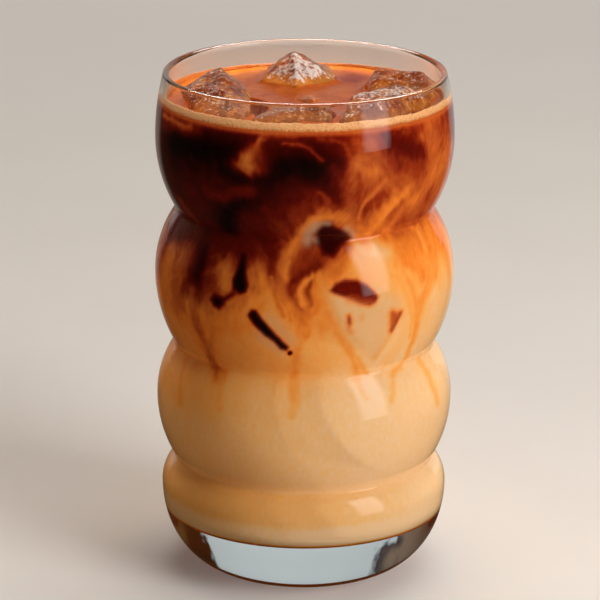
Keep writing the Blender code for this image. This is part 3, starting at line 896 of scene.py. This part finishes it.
def ramp_of(tree, value, stops):
    made = add_node(tree, "ShaderNodeValToRGB", {"Fac": value})
    bar = made.color_ramp.elements
    for element, (place, colour) in ((bar[0], stops[0]), (bar[1], stops[-1])):
        element.position, element.color = place, (*colour, 1)
    for place, colour in stops[1:-1]:
        bar.new(place).color = (*colour, 1)
    return made.outputs["Color"]


def bump_of(tree, height, strength, distance):
    return add_node(tree, "ShaderNodeBump", {"Height": height, "Strength": strength,
                                             "Distance": distance}).outputs[0]


def let_light_through(tree, shader, tint):
    """Shadow rays pass a clear piece straight, so that what is inside it is lit."""
    path = add_node(tree, "ShaderNodeLightPath")
    clear = add_node(tree, "ShaderNodeBsdfTransparent", {"Color": tint})
    both = add_node(tree, "ShaderNodeMixShader", {0: path.outputs["Is Shadow Ray"],
                                                  1: shader.outputs[0], 2: clear.outputs[0]})
    tree.links.new(both.outputs[0], tree.nodes["Material Output"].inputs["Surface"])


def glass_material():
    material, tree, shader = new_material("clear_glass")
    fill(tree, shader, {
        "Base Color": (0.985, 0.99, 0.987),
        "Transmission Weight": 1.0,
        "IOR": 1.5,
        "Roughness": remap(tree, noise_of(tree, 42, 4), 0.45, 0.8, 0.0, 0.05),
        "Normal": bump_of(tree, noise_of(tree, 60, 1), 0.10, 0.0002)})
    let_light_through(tree, shader, (0.97, 0.97, 0.97))
    return material


def drink_colour(tree):
    """The colour of the drink's milk value, with fine cloudy detail."""
    cloud = remap(tree, noise_of(tree, 900, 4, (1, 1, 0.45)), 0.25, 0.75, -0.022, 0.022)
    speck = remap(tree, noise_of(tree, 3600, 2), 0.3, 0.7, -0.012, 0.012)
    value = math_of(tree, "ADD", math_of(tree, "ADD", attribute_of(tree, "milk"), cloud), speck, clamp=True)
    return ramp_of(tree, value, RAMP)


def skin_material():
    material, tree, shader = new_material("drink_skin")
    fill(tree, shader, {
        # The painted sheen over the sunk ice turns the colour greyish tan
        "Base Color": mix_colour(tree, attribute_of(tree, "ice_sheen"), drink_colour(tree), (0.60, 0.38, 0.21)),
        "Roughness": 0.55,
        "Specular IOR Level": 0.0})
    return material


def surface_material():
    material, tree, shader = new_material("drink_surface")
    # Painted glow: the coffee seen under the ice is given a bright mottled amber, as if lit through the ice
    hollow = ramp_of(tree, noise_of(tree, 330, 3), [
        (0.35, (0.40, 0.11, 0.022)), (0.5, (0.74, 0.31, 0.08)), (0.68, (0.92, 0.58, 0.26))])
    depth = attribute_of(tree, "hollow")
    fill(tree, shader, {
        "Base Color": mix_colour(tree, depth, drink_colour(tree), hollow),
        "Roughness": remap(tree, depth, 0, 0.4, 0.12, 0.7),
        "IOR": 1.34,
        "Specular IOR Level": 0.05,
        "Normal": bump_of(tree, noise_of(tree, 260, 3), 0.15, 0.0002)})
    return material


def foam_material():
    material, tree, shader = new_material("foam")
    uneven = remap(tree, noise_of(tree, 1400, 3), 0.3, 0.7, -0.2, 0.2)
    colour = ramp_of(tree, math_of(tree, "ADD", attribute_of(tree, "climb"), uneven), [
        (0.0, (0.38, 0.08, 0.010)), (0.16, (0.47, 0.17, 0.037)), (0.34, (0.64, 0.30, 0.105)),
        (0.75, (0.68, 0.355, 0.14)), (1.0, (0.60, 0.27, 0.085))])
    place = add_node(tree, "ShaderNodeTexCoord").outputs["Object"]
    pores = add_node(tree, "ShaderNodeTexVoronoi", {"Vector": place, "Scale": 1500.0})
    pits = remap(tree, pores.outputs["Distance"], 0.1, 0.55)
    # Painted shade: the foam is darker down in its pits
    pit_shade = math_of(tree, "MULTIPLY", math_of(tree, "SUBTRACT", 1.0, pits), 0.55)
    colour = mix_colour(tree, pit_shade, colour, (0.50, 0.19, 0.045))
    fill(tree, shader, {
        "Base Color": mix_colour(tree, attribute_of(tree, "amber"), colour, (0.62, 0.19, 0.03)),
        "Roughness": 0.5,
        "Subsurface Weight": 0.15,
        "Subsurface Radius": (0.9, 0.5, 0.2),
        "Subsurface Scale": 0.001,
        "Normal": bump_of(tree, pits, 0.5, 0.0002)})
    return material


def ice_material():
    """Amber seen through the ice, white where it is frosted, glowing at the foot."""
    material, tree, shader = new_material("melting_ice")
    fine = noise_of(tree, 1000, 4, (1, 1, 0.4), rough=0.62)
    patch = noise_of(tree, 420, 6, (1, 1, 0.55), rough=0.68)
    frost = math_of(tree, "ADD", attribute_of(tree, "frost"), remap(tree, patch, 0.32, 0.68, -0.5, 0.35))
    frost = math_of(tree, "ADD", frost, remap(tree, fine, 0.3, 0.7, -0.6, 0.5))
    white = remap(tree, frost, 0.15, 0.95)
    coarse = noise_of(tree, 260, 5, rough=0.65)
    mottle = math_of(tree, "ADD", coarse, remap(tree, fine, 0.3, 0.7, -0.08, 0.08))
    amber = ramp_of(tree, mottle, [
        (0.35, (0.14, 0.022, 0.004)), (0.50, (0.42, 0.105, 0.014)), (0.62, (0.74, 0.30, 0.065)),
        (0.74, (0.92, 0.60, 0.29))])
    amber = mix_colour(tree, attribute_of(tree, "foot"), amber, (0.86, 0.36, 0.05))
    fill(tree, shader, {
        "Base Color": mix_colour(tree, white, amber, (0.84, 0.77, 0.70)),
        "Transmission Weight": remap(tree, white, 0, 1, 0.55, 0.12),
        "Roughness": remap(tree, white, 0, 1, 0.07, 0.5),
        "IOR": 1.31,
        "Specular IOR Level": 0.3,
        "Normal": bump_of(tree, noise_of(tree, 620, 5, rough=0.65), 0.6, 0.0005)})
    let_light_through(tree, shader, (0.92, 0.78, 0.62))
    return material


def floor_material():
    """Pale floor. Far off it glows evenly, and its reflection in the glass is dark in front."""
    material, tree, shader = new_material("pale_floor")
    tone = remap(tree, noise_of(tree, 9, 5), 0.3, 0.7)
    colour = mix_colour(tree, tone, (0.88, 0.83, 0.77), (0.91, 0.865, 0.81))
    path = add_node(tree, "ShaderNodeLightPath").outputs
    place = add_node(tree, "ShaderNodeNewGeometry").outputs["Position"]
    away = add_node(tree, "ShaderNodeVectorMath", {0: place}, operation="LENGTH").outputs["Value"]
    part = add_node(tree, "ShaderNodeSeparateXYZ", {0: place}).outputs
    through = mix_colour(tree, remap(tree, away, 0.05, 0.10), (0.16, 0.11, 0.08), (0.88, 0.74, 0.64))
    bounce = mix_colour(tree, path["Is Diffuse Ray"], (0.045, 0.025, 0.015), (0.25, 0.12, 0.06))
    bounce = mix_colour(tree, path["Is Transmission Ray"], bounce, through)
    far = math_of(tree, "MULTIPLY", remap(tree, away, 0.3, 1.1), path["Is Camera Ray"])
    seen = mix_colour(tree, far, colour, (0, 0, 0))
    aside = math_of(tree, "MULTIPLY", math_of(tree, "ABSOLUTE", part["X"]), -1.2)
    behind = remap(tree, math_of(tree, "ADD", part["Y"], aside), 0.0, 0.12)
    mirrored = math_of(tree, "SUBTRACT", path["Is Glossy Ray"], path["Is Transmission Ray"], clamp=True)
    glow = mix_colour(tree, far, (0, 0, 0), (0.60, 0.555, 0.505))
    edge = mix_colour(tree, remap(tree, part["X"], -0.05, 0.05), (0.24, 0.20, 0.17), (0.50, 0.48, 0.45))
    fill(tree, shader, {
        "Base Color": mix_colour(tree, path["Is Camera Ray"], bounce, seen),
        "Emission Color": mix_colour(tree, math_of(tree, "MULTIPLY", behind, mirrored), glow, edge),
        "Emission Strength": 1.0,
        "Roughness": 0.75,
        "Specular IOR Level": 0.2})
    return material


def surface_values(points):
    """Milk value of the level surface: creamy swirls, a painted glow of light through the coffee by the back
    wall, a dark patch at the right.
    """
    mm = points * 1000
    flat = mm * (1, 1, 0)
    sway = np.stack([noise(flat, 9, 50), noise(flat, 9, 51), np.zeros(len(mm))], axis=1) * 4
    value = 0.52 + 0.05 * noise(flat + sway, 6, 52) + 0.03 * noise(flat + sway * 1.5, (2.2, 5, 1), 53)
    radius = np.hypot(mm[:, 0], mm[:, 1])
    # Painted glow: paler amber by the back wall, where light shines through the coffee
    value += 0.10 * smooth_step(26, 36.5, radius + 2.5 * noise(flat, 5, 54)) * smooth_step(-4, 14, mm[:, 1])
    value -= 0.12 * np.exp(-((mm[:, 0] - 15) / 8) ** 2 - ((mm[:, 1] - 24) / 7) ** 2)
    return np.clip(value, 0, 1)


def dress(piece, materials, node):
    for material in materials:
        piece.data.materials.append(material)
    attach(piece, "root")
    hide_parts(node)


def build_milk(skin):
    milk = make_milk()
    co = read_points(milk)
    values, ice_sheen = drink_values(co)
    paint(milk, "milk", values)
    paint(milk, "ice_sheen", ice_sheen)
    sharpen_rim(milk, co)
    dress(milk, [skin], "milk")


def build_coffee(skin, cuts):
    coffee, wall_count = make_coffee(cuts)
    co = read_points(coffee)
    values, ice_sheen = drink_values(co)
    # The last two points are the middles of the meeting face and of the surface
    top = np.zeros(len(co), bool)
    top[wall_count * COLUMNS:-2] = True
    top[-1] = True
    values[top] = surface_values(co[top])
    paint(coffee, "milk", values)
    paint(coffee, "ice_sheen", np.where(top, 0, ice_sheen))
    # Depth of the hollows under the ice, which the surface material turns into its painted glow
    paint(coffee, "hollow", np.where(top, np.clip((LEVEL - 0.0004 - co[:, 2]) / 0.003, 0, 1), 0))
    sharpen_rim(coffee, co)
    dress(coffee, [skin, surface_material()], "coffee")
    for face in coffee.data.polygons:
        face.material_index = int(top[list(face.vertices)].sum() >= 2)


def build_ice(pieces):
    ice = ice_material()
    for index, (name, piece) in enumerate(pieces.items()):
        co, normals = weather_ice(piece, 60 + index * 5)
        look, amount, glow = FROST[name]
        facing = smooth_step(0.45, 0.95, normals @ (np.array(look) / np.linalg.norm(look)))
        above = smooth_step(LEVEL + 0.0008, LEVEL + 0.0026, co[:, 2])
        paint(piece, "frost", facing * amount * above)
        paint(piece, "foot", glow * smooth_step(LEVEL + 0.0034, LEVEL + 0.0014, co[:, 2]))
        dress(piece, [ice], name)


def build_object():
    """Every piece of the drink and its glass; gives the glass."""
    skin = skin_material()
    build_milk(skin)
    lumps = {name: ice_hull(name + "_lump", corners) for name, corners in ICE.items()}
    build_coffee(skin, ice_sections(lumps))
    dress(make_foam(), [foam_material()], "crema")
    build_ice(lumps)
    glass = make_glass()
    dress(glass, [glass_material()], "glass")
    return glass


def build_stage():
    turns = 96
    angle = angles_of(turns)
    verts = np.stack([FLOOR_RADIUS * np.cos(angle), FLOOR_RADIUS * np.sin(angle),
                      np.full(turns, -FLOOR_DROP)], axis=-1)
    floor = add_piece("floor", verts, [list(range(turns))])
    floor.data.materials.append(floor_material())


def add_light(name, azimuth, elevation, distance, size, radiance, colour, fade=1.0, soft=0.0, hidden=()):
    """A soft box that faces the glass; azimuth is degrees to the right of the camera's side.

    fade is how bright its lower edge is against its upper one; soft is the share of its width over
    which its edges fade; hidden names the kinds of ray that don't see it.
    """
    target = Vector((0, 0, HEIGHT / 2))
    turn, rise = math.radians(azimuth - 90), math.radians(elevation)
    data = bpy.data.lights.new(name, "AREA")
    data.shape = "RECTANGLE"
    data.size, data.size_y = size
    data.energy = radiance * math.pi * size[0] * size[1]
    data.color = colour
    light = put_in_scene(name, data)
    light.location = target + distance * Vector((math.cos(turn) * math.cos(rise),
                                                 math.sin(turn) * math.cos(rise), math.sin(rise)))
    light.rotation_euler = (target - light.location).to_track_quat("-Z", "Y").to_euler()
    light.visible_camera = False
    for kind in hidden:
        setattr(light, "visible_" + kind, False)
    if fade < 1:
        data.use_nodes = True
        tree = data.node_tree
        place = add_node(tree, "ShaderNodeNewGeometry").outputs["Parametric"]
        part = add_node(tree, "ShaderNodeSeparateXYZ", {0: place}).outputs
        glow = remap(tree, part["Y"], 0.1, 0.9, fade, 1.0)
        for side in (part["X"], part["Y"]) if soft else ():
            middle = math_of(tree, "ABSOLUTE", math_of(tree, "SUBTRACT", side, 0.5))
            glow = math_of(tree, "MULTIPLY", glow, remap(tree, middle, 0.5, 0.5 - soft))
        glow = add_node(tree, "ShaderNodeEmission", {"Strength": glow})
        tree.links.new(glow.outputs[0], tree.nodes["Light Output"].inputs["Surface"])
    return light


def build_lights(glass):
    """One big soft box at the right, whose reflection is a light of its own, and weaker ones round it."""
    add_light("box_right", 51, 12, 1.0, (0.5, 0.9), 9.9, (0.97, 0.98, 1.0), fade=0.45,
              hidden=("glossy", "transmission"))
    add_light("box_shine", 55, 18, 0.95, (0.46, 1.05), 4.2, (0.90, 0.97, 1.0), fade=0.45, soft=0.18,
              hidden=("diffuse", "transmission"))
    add_light("fill", 42, 46, 1.1, (0.6, 0.6), 1.5, (1.0, 0.96, 0.9), hidden=("glossy",))
    add_light("left", -60, 20, 1.1, (0.6, 0.8), 0.12, (1.0, 0.93, 0.85), hidden=("glossy",))
    add_light("top", 150, 72, 1.1, (0.9, 0.9), 2.5, (1.0, 0.98, 0.95), hidden=("glossy",))
    over = add_light("over", 180, 60, 0.9, (1.2, 0.45), 14.0, (1.0, 0.98, 0.96), hidden=("diffuse",))
    over.light_linking.receiver_collection = bpy.data.collections.new("lit_by_over")
    over.light_linking.receiver_collection.objects.link(glass)


def build_world():
    """Dark in front so that the coffee stays dark; at the back pale low down and warm above.

    The thick foot of the glass shows the low band: pale behind, brown to the sides.
    """
    world = bpy.data.worlds.new("studio")
    bpy.context.scene.world = world
    world.use_nodes = True
    tree = world.node_tree
    way = add_node(tree, "ShaderNodeTexCoord").outputs["Generated"]
    along = add_node(tree, "ShaderNodeVectorMath", {0: way, 1: (0.0, 0.93, 0.37)},
                     operation="DOT_PRODUCT").outputs["Value"]
    high = ramp_of(tree, remap(tree, along, -1, 1), [
        (0.0, (0.008, 0.007, 0.006)), (0.55, (0.018, 0.012, 0.008)), (0.72, (0.045, 0.026, 0.014)),
        (0.86, (0.20, 0.11, 0.06)), (0.95, (0.36, 0.22, 0.13)), (1.0, (0.44, 0.30, 0.20))])
    part = add_node(tree, "ShaderNodeSeparateXYZ", {0: way}).outputs
    ragged = add_node(tree, "ShaderNodeTexNoise", {"Vector": way, "Scale": 9.0, "Detail": 5.0}).outputs["Fac"]
    back = math_of(tree, "ADD", part["Y"], remap(tree, ragged, 0.3, 0.7, -0.05, 0.05))
    left = ramp_of(tree, back, [
        (0.0, (0.02, 0.015, 0.01)), (0.40, (0.12, 0.085, 0.055)), (0.72, (0.20, 0.15, 0.11)),
        (0.80, (0.03, 0.035, 0.04)), (0.84, (0.48, 0.54, 0.54)), (1.0, (0.52, 0.58, 0.58))])
    right = ramp_of(tree, back, [
        (0.0, (0.02, 0.012, 0.006)), (0.4, (0.16, 0.08, 0.02)), (0.56, (0.04, 0.012, 0.002)),
        (0.72, (0.035, 0.010, 0.002)), (0.76, (0.48, 0.54, 0.54)), (1.0, (0.52, 0.58, 0.58))])
    low = mix_colour(tree, remap(tree, part["X"], -0.05, 0.05), left, right)
    light = mix_colour(tree, remap(tree, part["Z"], 0.42, 0.55), low, high)
    path = add_node(tree, "ShaderNodeLightPath").outputs
    front = math_of(tree, "MULTIPLY", remap(tree, part["Y"], 0.08, -0.12), path["Is Transmission Ray"])
    front = math_of(tree, "MULTIPLY", front, remap(tree, part["Z"], 0.32, 0.22))
    light = mix_colour(tree, front, light, (0.46, 0.50, 0.50))
    colour = mix_colour(tree, path["Is Camera Ray"], light, (0.80, 0.735, 0.67))
    fill(tree, tree.nodes["Background"], {"Color": colour})


def build_camera():
    target = Vector((0, 0, HEIGHT / 2))
    data = bpy.data.cameras.new("camera")
    camera = put_in_scene("camera", data)
    away = Vector((0, -math.cos(VIEW_ELEVATION), math.sin(VIEW_ELEVATION)))
    camera.location = target + VIEW_DISTANCE * away
    aim = (target - camera.location).to_track_quat("-Z", "Y")
    camera.rotation_mode = "QUATERNION"
    camera.rotation_quaternion = aim @ Quaternion((0, 0, 1), VIEW_ROLL)
    data.lens = FOCAL_PIXELS / FRAME_PIXELS * data.sensor_width
    data.shift_x = -(CENTRE_PIXELS[0] - FRAME_PIXELS / 2) / FRAME_PIXELS
    data.shift_y = (CENTRE_PIXELS[1] - FRAME_PIXELS / 2) / FRAME_PIXELS
    data.clip_start = 0.01
    bpy.context.scene.camera = camera


glass = build_object()
build_stage()
build_world()
build_camera()
build_lights(glass)
bpy.context.scene.view_settings.view_transform = "Standard"
